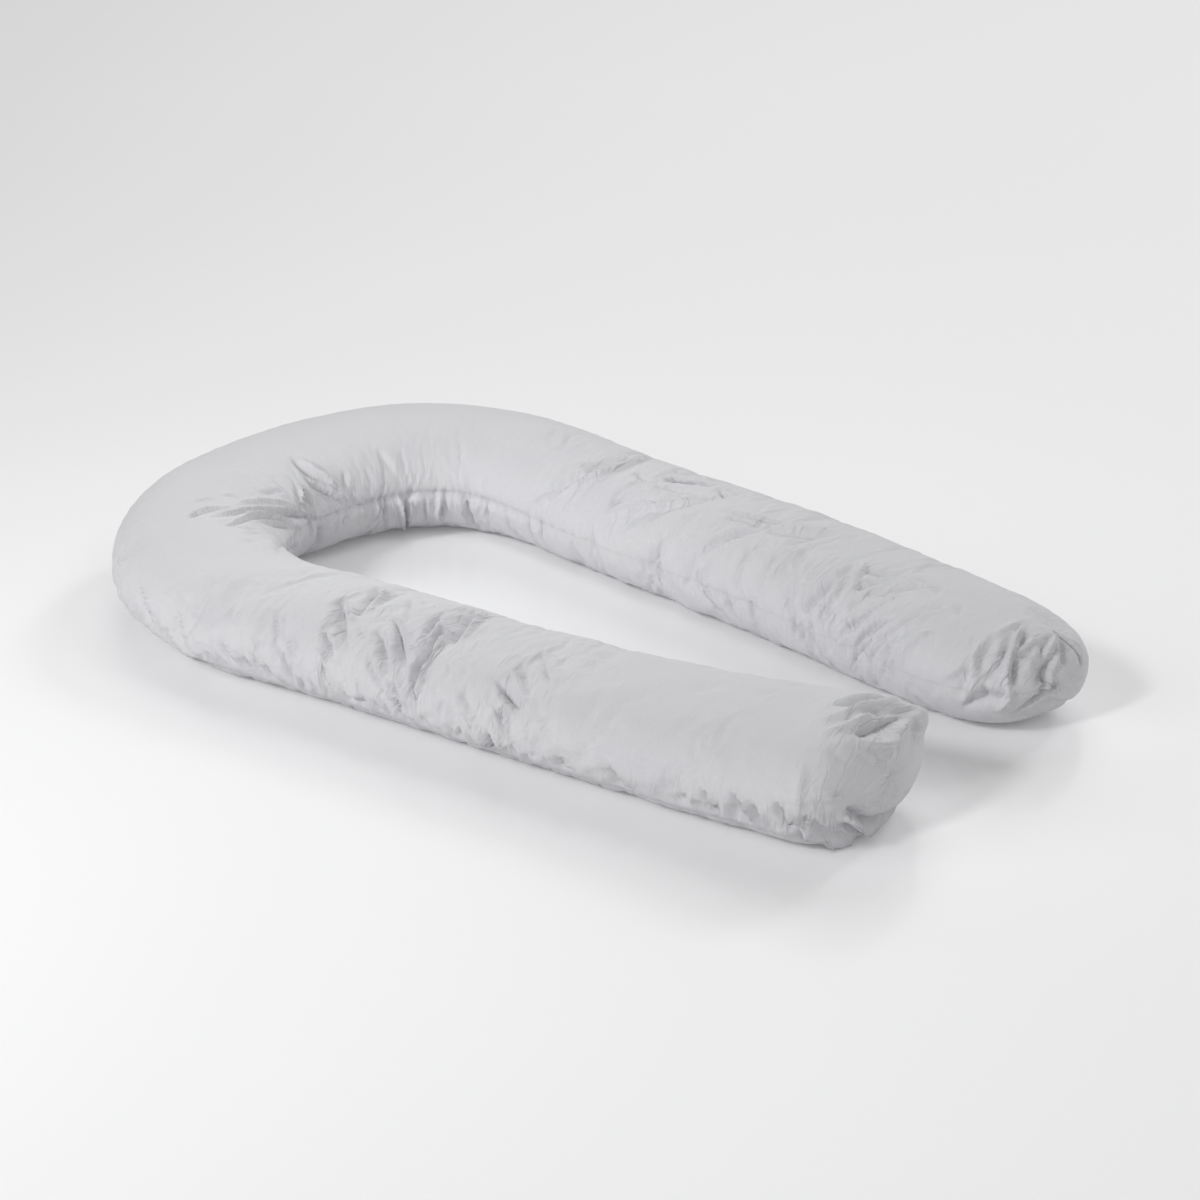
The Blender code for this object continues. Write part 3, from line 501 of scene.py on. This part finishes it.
# The sewn seam: a soft edge round the inside and a drawn-in line low round the outside,
# with small puckers that run into it.
seam = {
    "depth": (0.0032, 0.0045),  # inner seam, outer seam (m)
    "width": 0.0050,
    "edgePower": 1.3,  # 2 is a soft groove, 1 a sharp one
    # How much of the inner seam shows, at distances along the tube.
    "shows": ((0.0, 0.1), (1.32, 0.1), (1.45, 1.0), (1.98, 1.0), (2.12, 0.0), (3.0, 0.0)),
    "puff": 0.0016,  # the lower panel swells beside it inside, the upper one outside
    "puffAt": 0.013,
    "puffWidth": 0.6,  # as a share of how far off it is
    "angle": (0, 208),  # where the puckers start, degrees round the tube
    "spacing": (0.010, 0.024),  # from one pucker to the next (m)
    "pucker": 0.0034,  # depth (m)
    "puckerWidth": (0.0028, 0.0052),
    "uneven": (0.15, 1.2),  # least and greatest share of that depth
    "softSide": 1.6,  # how much wider one flank is than the other
    "lip": 0.5,  # height of the crest beside it, as a share of its depth
    "strongest": (0.35, 0.6),  # share of its length: inner seam, outer seam
    "clearOfEnds": (0.03, 0.04),  # the tube's two ends stay without puckers (m)
    "reach": ((8, 26), (12, 34)),  # how far they run, degrees: inner seam, outer seam
    "lean": (-0.006, 0.016),  # how far their far ends lean along the tube (m)
    # How strongly it puckers at distances along the tube: inner seam, outer seam.
    "strength": (
        (0.00, 0.9, 1.2), (0.18, 0.7, 1.2), (0.25, 0.5, 0.7), (0.40, 0.6, 0.8), (0.50, 0.9, 1.1),
        (0.85, 0.9, 1.2), (1.10, 0.6, 0.9), (1.30, 0.8, 0.5), (1.55, 1.0, 0.5), (1.80, 1.0, 0.5),
        (2.10, 0.5, 0.6), (2.40, 0.35, 0.7), (2.70, 0.35, 0.8), (3.00, 0.5, 1.0),
    ),
}


def puckerRows():
    rng = np.random.default_rng(pillow["seed"] * 1000 + 77)
    table = np.array(seam["strength"])
    rows = []
    for k, angle in enumerate(seam["angle"]):
        place = seam["clearOfEnds"][0]
        while place < tubeLength - seam["clearOfEnds"][1]:
            strength = np.interp(place, table[:, 0], table[:, k + 1]) * rng.uniform(*seam["uneven"])
            reach = rng.uniform(*seam["reach"][k]) * (0.7 + 0.3 * strength)
            lean = seam["lean"][k] * reach / seam["reach"][k][1] + rng.normal(0, 0.005)
            width = rng.uniform(*seam["puckerWidth"])
            if k:
                course = (place + lean, angle - reach, place + 0.6 * lean, angle - reach / 2, place, angle)
            else:
                course = (place, angle + 3, place + 0.4 * lean, angle - reach / 2,
                          place + lean, angle - reach)
            depth = seam["pucker"] * strength
            sizes = (width * seam["softSide"], width, -depth, depth * seam["lip"])
            rows.append((*course, *sizes, seam["strongest"][k]))
            place += rng.uniform(*seam["spacing"])
    return rows


# How the cover is cut and filled, for the cloth simulation that wrinkles it.
cloth = {
    "frames": 16,
    "quality": 5,
    "pressure": 4.0,  # push of the filling
    "stiffness": 15,
    "bending": 0.008,
    "shear": 5,
    "weight": 0.15,  # of each point (kg)
    "largestChange": 0.06,  # share by which the cloth may be cut larger or smaller
    "endsKeep": (0.08, 0.1),  # the seam pulls from this far off the ends, and fades in over this (m)
    "seamPull": 0.012,  # share by which the outer seam is shorter than the skin beside it
    "seamReach": 5.0,  # degrees either side of the seam
    "keepsBelow": (12, 8),  # only ripples shorter than this many rings and columns stay
    "evensOut": 20,  # and no fold that runs along the tube for this many rings
    "limit": 0.010,  # no point is moved further (m)
    "crownReach": 65,  # degrees from the crown to where its share of spare cloth ends
    # Spare cloth at distances along the tube, as a share of the skin: on the inner
    # wall, over the crown and on the outer side.
    "spare": (
        (0.00, 0.015, 0.010, 0.015),
        (0.08, 0.015, 0.010, 0.025),
        (0.13, 0.012, 0.012, 0.030),
        (0.30, 0.010, 0.008, 0.024),
        (0.42, 0.015, 0.018, 0.032),
        (0.50, 0.030, 0.036, 0.048),
        (0.82, 0.030, 0.038, 0.048),
        (0.92, 0.020, 0.022, 0.040),
        (1.05, 0.020, 0.014, 0.036),
        (1.20, 0.040, 0.018, 0.028),
        (1.35, 0.045, 0.018, 0.020),
        (1.50, 0.040, 0.014, 0.014),
        (1.75, 0.036, 0.010, 0.012),
        (1.95, 0.036, 0.014, 0.012),
        (2.08, 0.040, 0.032, 0.020),
        (2.30, 0.042, 0.036, 0.024),
        (2.50, 0.044, 0.034, 0.024),
        (2.70, 0.050, 0.038, 0.024),
        (2.84, 0.045, 0.030, 0.024),
        (2.90, 0.020, 0.014, 0.015),
        (2.99, 0.010, 0.010, 0.010),
    ),
}


# Grid values spread over their neighbours, three times a running mean.
def softened(field, ringReach, columnReach):
    for _ in range(3):
        for axis, reach, mode in ((0, ringReach, "edge"), (1, columnReach, "wrap")):
            pads = [(0, 0)] * field.ndim
            pads[axis] = (reach + 1, reach)
            total = np.cumsum(np.pad(field, pads, mode=mode), axis=axis)
            size = field.shape[axis]
            span = 2 * reach + 1
            upper = np.take(total, np.arange(span, span + size), axis=axis)
            lower = np.take(total, np.arange(0, size), axis=axis)
            field = (upper - lower) / span
    return field


def spareCloth(along, around):
    rows = np.array(cloth["spare"])
    inner, crown, outer = (np.interp(along, rows[:, 0], rows[:, k]) for k in (1, 2, 3))
    turn = np.where(around > 180, 360 - around, np.abs(around))
    lowInner = (around < 0) | (around > 270)
    turn = np.where(lowInner, 0, np.where(around > 180, 180, turn))
    toCrown = np.clip(1 - np.abs(turn - 90) / cloth["crownReach"], 0, 1)
    toCrown = toCrown * toCrown * (3 - 2 * toCrown)
    return crown * toCrown + np.where(turn < 90, inner, outer) * (1 - toCrown)


# The cover's mesh: rings of points closed by two tips. Its texture map gives metres of
# cloth along and round the tube.
def coverMesh(name, points):
    ringCount, columnCount = points.shape[:2]
    tips = tubePoints([0.0, tubeLength], [0.0, 0.0])
    vertices = np.concatenate([points.reshape(-1, 3), tips])
    index = np.arange(ringCount * columnCount).reshape(ringCount, columnCount)
    beside = np.roll(index, -1, axis=1)
    faces = np.stack([index[:-1], index[1:], beside[1:], beside[:-1]], axis=-1).reshape(-1, 4).tolist()
    startTip, finishTip = ringCount * columnCount, ringCount * columnCount + 1
    faces += [(startTip, int(a), int(b)) for a, b in zip(index[0], beside[0])]
    faces += [(finishTip, int(b), int(a)) for a, b in zip(index[-1], beside[-1])]
    mesh = bpy.data.meshes.new(name)
    mesh.from_pydata(vertices.tolist(), [], faces)
    crown = points[:, columnCount // 2]
    alongCloth = np.concatenate(([0.0], np.cumsum(np.linalg.norm(np.diff(crown, axis=0), axis=1)))) + 0.01
    middle = points[ringCount // 2]
    roundCloth = np.cumsum(np.linalg.norm(np.roll(middle, -1, axis=0) - middle, axis=1))
    roundCloth = np.concatenate(([0.0], roundCloth))
    u, v = np.meshgrid(alongCloth, roundCloth, indexing="ij")
    spread = np.stack([u, v], axis=-1)
    quads = np.stack([spread[:-1, :-1], spread[1:, :-1], spread[1:, 1:], spread[:-1, 1:]], axis=2)
    tipCloth = []
    for ring, tipAlong, order in ((0, 0.0, (0, 1)), (-1, alongCloth[-1] + 0.01, (1, 0))):
        for k in range(columnCount):
            tipCloth.append((tipAlong, (roundCloth[k] + roundCloth[k + 1]) / 2))
            tipCloth += [tuple(spread[ring, k + step]) for step in order]
    layer = mesh.uv_layers.new(name="clothMetres")
    corners = np.concatenate([quads.reshape(-1, 2), tipCloth]).astype(np.float32)
    layer.data.foreach_set("uv", corners.reshape(-1))
    mesh.update()
    mesh.shade_smooth()
    return mesh


# Runs the cover as cloth over its filling and gives how far each grid point went.
def wrinkledCover(points, along, around):
    mesh = coverMesh("coverCut", points)
    cut = bpy.data.objects.new("coverCut", mesh)
    scene = bpy.context.scene
    scene.collection.objects.link(cut)
    pull = cloth["seamPull"] * np.exp(-(((around - seam["angle"][1]) / cloth["seamReach"]) ** 2))
    clear, fade = cloth["endsKeep"]
    pull *= np.clip((along - clear) / fade, 0, 1) * np.clip((tubeLength - along - clear) / fade, 0, 1)
    share = pull - spareCloth(along, around) * (1 - pull / cloth["seamPull"])
    largest = cloth["largestChange"]
    weights = np.clip((share + largest) / (2 * largest), 0, 1).reshape(-1)
    cutGroup = cut.vertex_groups.new(name="cut")
    for k, weight in enumerate(weights.tolist()):
        cutGroup.add([k], weight, "REPLACE")
    cutGroup.add([len(weights), len(weights) + 1], 0.5, "REPLACE")
    restGroup = cut.vertex_groups.new(name="rests")
    resting = np.where(points[..., 2].reshape(-1) <= pillow["touches"])[0]
    restGroup.add(resting.tolist(), 1.0, "REPLACE")
    modifier = cut.modifiers.new("cloth", "CLOTH")
    settings = modifier.settings
    settings.quality = cloth["quality"]
    settings.mass = cloth["weight"]
    settings.use_pressure = True
    settings.uniform_pressure_force = cloth["pressure"]
    settings.tension_stiffness = settings.compression_stiffness = cloth["stiffness"]
    settings.shear_stiffness = cloth["shear"]
    settings.bending_stiffness = cloth["bending"]
    settings.vertex_group_shrink = "cut"
    settings.shrink_min = -largest
    settings.shrink_max = largest
    settings.vertex_group_mass = "rests"
    settings.effector_weights.gravity = 0
    modifier.collision_settings.use_collision = False
    modifier.point_cache.frame_start = 1
    modifier.point_cache.frame_end = cloth["frames"] + 1
    for number in range(1, cloth["frames"] + 1):
        scene.frame_set(number)
    settled = cut.evaluated_get(bpy.context.evaluated_depsgraph_get())
    places = np.empty(len(mesh.vertices) * 3)
    settled.data.vertices.foreach_get("co", places)
    moved = places.reshape(-1, 3)[:-2].reshape(points.shape) - points
    bpy.data.objects.remove(cut, do_unlink=True)
    scene.frame_set(1)
    print("cloth settled, largest move", round(float(np.abs(moved).max()), 4))
    return moved


def buildPillow():
    places = ringPlaces()
    angles = columnAngles()
    along, around = np.meshgrid(places, angles, indexing="ij")
    smooth = tubePoints(along, around)
    normals = outward(smooth)
    print("smooth tube", smooth.shape)

    def riseOf(rows):
        total = np.zeros(along.shape)
        for row in rows:
            found = foldRise(row, smooth, normals, places)
            if found:
                total[found[0]:found[1]] += found[2]
        return total

    heights = np.interp(along, tubeAlong, tubeValues[:, 4])
    outerShare = (1 - np.cos(np.radians(around))) / 2
    seamHeight, seamDepth = (a + (b - a) * outerShare for a, b in (pillow["seamHeight"], seam["depth"]))
    aboveSeam = smooth[..., 2] - seamHeight * heights
    shown = np.interp(along, *np.array(seam["shows"]).T)
    shown = shown + (1 - shown) * outerShare
    sewn = -seamDepth * np.exp(-np.abs(aboveSeam / seam["width"]) ** seam["edgePower"])
    beside = aboveSeam * np.where(outerShare > 0.5, 1, -1) / seam["puffAt"] - 1
    sewn = shown * (sewn + seam["puff"] * np.exp(-((beside / seam["puffWidth"]) ** 2)))
    creased = riseOf([inMetres(row) for rows in folds.values() for row in rows])
    puckered = riseOf(puckerRows())
    pocket = riseOf([inMetres(pillow["pocket"])])
    inner, outer = (np.stack([np.interp(along, tubeAlong, tubeValues[:, k]) for k in pair], axis=-1)
                    for pair in ((0, 1), (2, 3)))
    outerWay = np.zeros(smooth.shape)
    outerWay[..., :2] = (outer - inner) / np.linalg.norm(outer - inner, axis=-1, keepdims=True)
    print("folds and puckers placed")

    free = np.clip(smooth[..., 2] / pillow["loosens"], 0, 1)
    free = free * free * (3 - 2 * free)
    start = pillow["dentHeight"] * sum(hills(along, around, *dent) for dent in pillow["dents"])
    rise = pillow["before"] * (creased + puckered) + start
    rise = pillow["deepest"] * np.tanh(rise / pillow["deepest"])
    moved = np.zeros(smooth.shape)
    cut = smooth + normals * (rise * free)[..., None]
    cut[..., 2] = np.where(smooth[..., 2] <= 0, 0, np.maximum(cut[..., 2], 0))
    moved = wrinkledCover(cut, along, around)
    moved -= softened(moved, *cloth["keepsBelow"])
    moved -= softened(moved, cloth["evensOut"], 0)
    size = np.linalg.norm(moved, axis=2, keepdims=True)
    moved *= cloth["limit"] * np.tanh(size / cloth["limit"]) / np.maximum(size, 1e-9)
    rise = rise + pillow["after"] * (creased + puckered) + sewn
    rise = pillow["deepest"] * np.tanh(rise / pillow["deepest"])
    points = smooth + (normals * (rise + pocket)[..., None] + moved) * free[..., None]
    points -= outerWay * (pillow["goesUnder"] * pocket)[..., None]
    points[..., 2] = np.where(smooth[..., 2] <= 0, 0, np.maximum(points[..., 2], 0))

    mesh = coverMesh("pillowCover", points)
    gathered = softened(np.abs(creased + puckered) + 0.3 * np.linalg.norm(moved, axis=2), 9, 6)
    least = cover["leastGathered"]
    gathered = np.clip(gathered / cover["gathersAt"], least, 1)
    for name, values in (("gathered", gathered), ("aboveSeam", aboveSeam)):
        attribute = mesh.attributes.new(name, "FLOAT", "POINT")
        withTips = np.append(values.reshape(-1), (least, least)).astype(np.float32)
        attribute.data.foreach_set("value", withTips)
    piece = bpy.data.objects.new("pillowCover", mesh)
    bpy.context.scene.collection.objects.link(piece)
    print("cover mesh", len(mesh.polygons), "faces")
    return piece


def hexColour(text):
    parts = [int(text[k:k + 2], 16) / 255 for k in (1, 3, 5)]
    return tuple(c / 12.92 if c <= 0.04045 else ((c + 0.055) / 1.055) ** 2.4 for c in parts) + (1.0,)


# Adds a node, sets its properties and sockets, and links its inputs.
def addNode(tree, kind, settings=None, links=None):
    node = tree.nodes.new(kind)
    for name, value in (settings or {}).items():
        if isinstance(name, str) and hasattr(node, name):
            setattr(node, name, value)
        else:
            node.inputs[name].default_value = value
    for name, source in (links or {}).items():
        tree.links.new(source, node.inputs[name])
    return node


# A math node whose values are numbers or other nodes' outputs.
def mathNode(tree, operation, *values):
    settings, links = {"operation": operation}, {}
    for k, value in enumerate(values):
        (settings if isinstance(value, (int, float)) else links)[k] = value
    return addNode(tree, "ShaderNodeMath", settings, links).outputs[0]


def newMaterial(name):
    material = bpy.data.materials.new(name)
    material.use_nodes = True
    material.node_tree.nodes.clear()
    return material, material.node_tree


cover = {
    "colour": "#D6D6D8",
    "dullColour": "#D1D1D5",
    "patch": 0.11,  # size of a duller patch (m)
    "roughness": 0.9,
    "sheen": 0.15,
    "thread": 0.0009,  # m; drawn three times coarser than percale's 0.3 mm so that it shows
    "threadHeight": 0.00005,
    "crinkle": (0.016, 0.045),  # size of a small crinkle along and round the tube (m)
    "crinkleHeight": 0.0055,
    "stitch": 0.0035,  # length of a stitch (m)
    "stitchAbove": 0.0025,  # how far over the seam's line it runs (m)
    "stitchHeight": 0.0004,
    "stitchHalfWidth": 0.0006,
    "stitchShare": 0.7,  # of its length that shows before it dips under
    # Crinkles show where folds move the cloth by this much (m), and by the least share elsewhere.
    "gathersAt": 0.002,
    "leastGathered": 0.12,
}


# Cotton percale, woven. Plain weave gives the matt, dry grain; the crinkles break up the
# light between the folds; stitches follow the seams; a thin sheen is the cotton's fuzz.
def cottonPercale():
    material, tree = newMaterial("cottonPercaleWoven")
    metres = addNode(tree, "ShaderNodeUVMap", {"uv_map": "clothMetres"}).outputs[0]
    apart = addNode(tree, "ShaderNodeSeparateXYZ", {}, {0: metres})
    ribs = []
    for k in (0, 1):
        turn = mathNode(tree, "MULTIPLY", apart.outputs[k], math.pi / cover["thread"])
        ribs.append(mathNode(tree, "ABSOLUTE", mathNode(tree, "SINE", turn)))
    over = addNode(tree, "ShaderNodeTexChecker", {"Scale": 1 / cover["thread"]}, {"Vector": metres})
    weave = addNode(tree, "ShaderNodeMix", {"data_type": "FLOAT"},
                    {0: over.outputs["Fac"], 2: ribs[0], 3: ribs[1]})
    height = mathNode(tree, "MULTIPLY", weave.outputs[0], cover["threadHeight"])

    size = cover["crinkle"]
    stretched = addNode(tree, "ShaderNodeMapping",
                        {"Scale": (1 / size[0], 1 / size[1], 1.0)}, {"Vector": metres})
    noise = addNode(tree, "ShaderNodeTexNoise", {
        "noise_dimensions": "2D", "Scale": 1.0, "Detail": 2.0, "Roughness": 0.45, "Distortion": 0.5},
        {"Vector": stretched.outputs[0]})
    gathered = addNode(tree, "ShaderNodeAttribute", {"attribute_name": "gathered"}).outputs["Fac"]
    ridge = mathNode(tree, "ABSOLUTE", mathNode(tree, "SUBTRACT", noise.outputs[0], 0.5))
    crinkles = mathNode(tree, "MULTIPLY", ridge, gathered)
    height = mathNode(tree, "MULTIPLY_ADD", crinkles, cover["crinkleHeight"], height)

    aboveSeam = addNode(tree, "ShaderNodeAttribute", {"attribute_name": "aboveSeam"}).outputs["Fac"]
    onLine = mathNode(tree, "COMPARE", aboveSeam, cover["stitchAbove"], cover["stitchHalfWidth"])
    beat = mathNode(tree, "FRACT", mathNode(tree, "DIVIDE", apart.outputs[0], cover["stitch"]))
    stitched = mathNode(tree, "MULTIPLY", onLine, mathNode(tree, "LESS_THAN", beat, cover["stitchShare"]))
    height = mathNode(tree, "MULTIPLY_ADD", stitched, cover["stitchHeight"], height)
    grain = addNode(tree, "ShaderNodeBump", {"Strength": 1.0, "Distance": 1.0}, {"Height": height})

    patches = addNode(tree, "ShaderNodeTexNoise", {"noise_dimensions": "2D", "Scale": 1 / cover["patch"],
                                                   "Detail": 3.0}, {"Vector": metres})
    colour = addNode(tree, "ShaderNodeMix", {
        "data_type": "RGBA", 6: hexColour(cover["colour"]), 7: hexColour(cover["dullColour"])},
        {0: patches.outputs[0]})
    shader = addNode(tree, "ShaderNodeBsdfPrincipled", {
        "Roughness": cover["roughness"], "IOR": 1.47,
        "Sheen Weight": cover["sheen"], "Sheen Roughness": 0.5},
        {"Base Color": colour.outputs[2], "Normal": grain.outputs[0]})
    addNode(tree, "ShaderNodeOutputMaterial", {}, {"Surface": shader.outputs[0]})
    return material


# Lights are given by where they stand: degrees round the pillow from the camera,
# clockwise seen from above, so 180 is behind it, and degrees above the floor.
studio = {
    "floorColour": "#F3F3F4",
    "floorRoughness": 0.14,
    "floorGlow": 0.06,  # light that comes up through the floor
    "glow": (  # soft walls of light: around, above, tightness, strength
        (180, 24, 3, 0.2),
        (180, 19, 14, 0.6),
        (225, 17, 8, 1.2),
        (0, 24, 3, 0.8),
        (270, 24, 3, 0.4),
    ),
    "suns": (  # broad far lamps: around, above, spread, strength
        (53, 35, 10, 1.0),
        (180, 40, 25, 0.5),
        (217, 30, 10, 0.5),
    ),
    "boxes": (  # soft boxes: place, width, height, aimed at, power
        ((-1.0, -2.0, 1.2), 1.2, 1.2, (0.0, 0.0, 0.1), 16.0),
        ((0.0, 0.0, 2.2), 2.0, 2.0, (0.0, 0.0, 0.1), 2.0),
        ((-0.2, 0.0, 0.6), 0.3, 0.25, (-0.2, 0.0, 0.0), 0.5),
    ),
    "azimuth": 33.11,  # degrees, camera round the pillow
    "elevation": 22.445,
    "distance": 3.817,
    "target": (0.0267, 0.0191, 0.05),
    "lens": 79.91,
}


# Direction from the pillow to something `around` degrees clockwise from the camera.
def towards(around, above):
    turn = math.radians(studio["azimuth"] - around)
    flat = math.cos(math.radians(above))
    return Vector((math.sin(turn) * flat, -math.cos(turn) * flat, math.sin(math.radians(above))))


def addLamp(name, kind, place, aim, **settings):
    lamp = bpy.data.lights.new(name, kind)
    for key, value in settings.items():
        setattr(lamp, key, value)
    light = bpy.data.objects.new(name, lamp)
    light.location = place
    light.rotation_euler = (Vector(place) - Vector(aim)).to_track_quat("Z", "Y").to_euler()
    light.visible_camera = False
    light.visible_glossy = False
    bpy.context.scene.collection.objects.link(light)


def buildStudio():
    bpy.ops.mesh.primitive_plane_add(size=40, location=(0, 0, 0))
    floor = bpy.context.object
    floor.name = "studioFloor"
    material, tree = newMaterial("acrylicSheetPolished")
    shader = addNode(tree, "ShaderNodeBsdfPrincipled", {
        "Base Color": hexColour(studio["floorColour"]), "Roughness": studio["floorRoughness"], "IOR": 1.49,
        "Emission Color": (1.0, 1.0, 1.0, 1.0), "Emission Strength": studio["floorGlow"]})
    addNode(tree, "ShaderNodeOutputMaterial", {}, {"Surface": shader.outputs[0]})
    floor.data.materials.append(material)

    world = bpy.data.worlds.new("studio")
    bpy.context.scene.world = world
    world.use_nodes = True
    tree = world.node_tree
    tree.nodes.clear()
    way = addNode(tree, "ShaderNodeTexCoord").outputs["Generated"]
    total = 0.0
    for around, above, tightness, strength in studio["glow"]:
        facing = addNode(tree, "ShaderNodeVectorMath",
                         {"operation": "DOT_PRODUCT", 1: towards(around, above)}, {0: way})
        lit = mathNode(tree, "MAXIMUM", facing.outputs["Value"], 0.0)
        total = mathNode(tree, "MULTIPLY_ADD", mathNode(tree, "POWER", lit, tightness), strength, total)
    background = addNode(tree, "ShaderNodeBackground", {"Color": (1.0, 1.0, 1.0, 1.0)},
                         {"Strength": total})
    addNode(tree, "ShaderNodeOutputWorld", {}, {"Surface": background.outputs[0]})

    for k, (around, above, spread, strength) in enumerate(studio["suns"]):
        addLamp("farLamp%d" % k, "SUN", towards(around, above) * 5, (0, 0, 0),
                energy=strength, angle=math.radians(spread))
    for k, (place, width, height, aim, power) in enumerate(studio["boxes"]):
        addLamp("softBox%d" % k, "AREA", place, aim,
                shape="RECTANGLE", size=width, size_y=height, energy=power)

    back = towards(0, studio["elevation"])
    camera = bpy.data.objects.new("camera", bpy.data.cameras.new("camera"))
    camera.data.lens = studio["lens"]
    camera.data.sensor_width = 36
    camera.location = Vector(studio["target"]) + back * studio["distance"]
    camera.rotation_euler = back.to_track_quat("Z", "Y").to_euler()
    bpy.context.scene.collection.objects.link(camera)
    bpy.context.scene.camera = camera
    bpy.context.scene.view_settings.view_transform = "Standard"
    print("studio ready")


coverPiece = buildPillow()
coverPiece.data.materials.append(cottonPercale())
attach(coverPiece, "root")
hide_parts("body_pillow")
buildStudio()
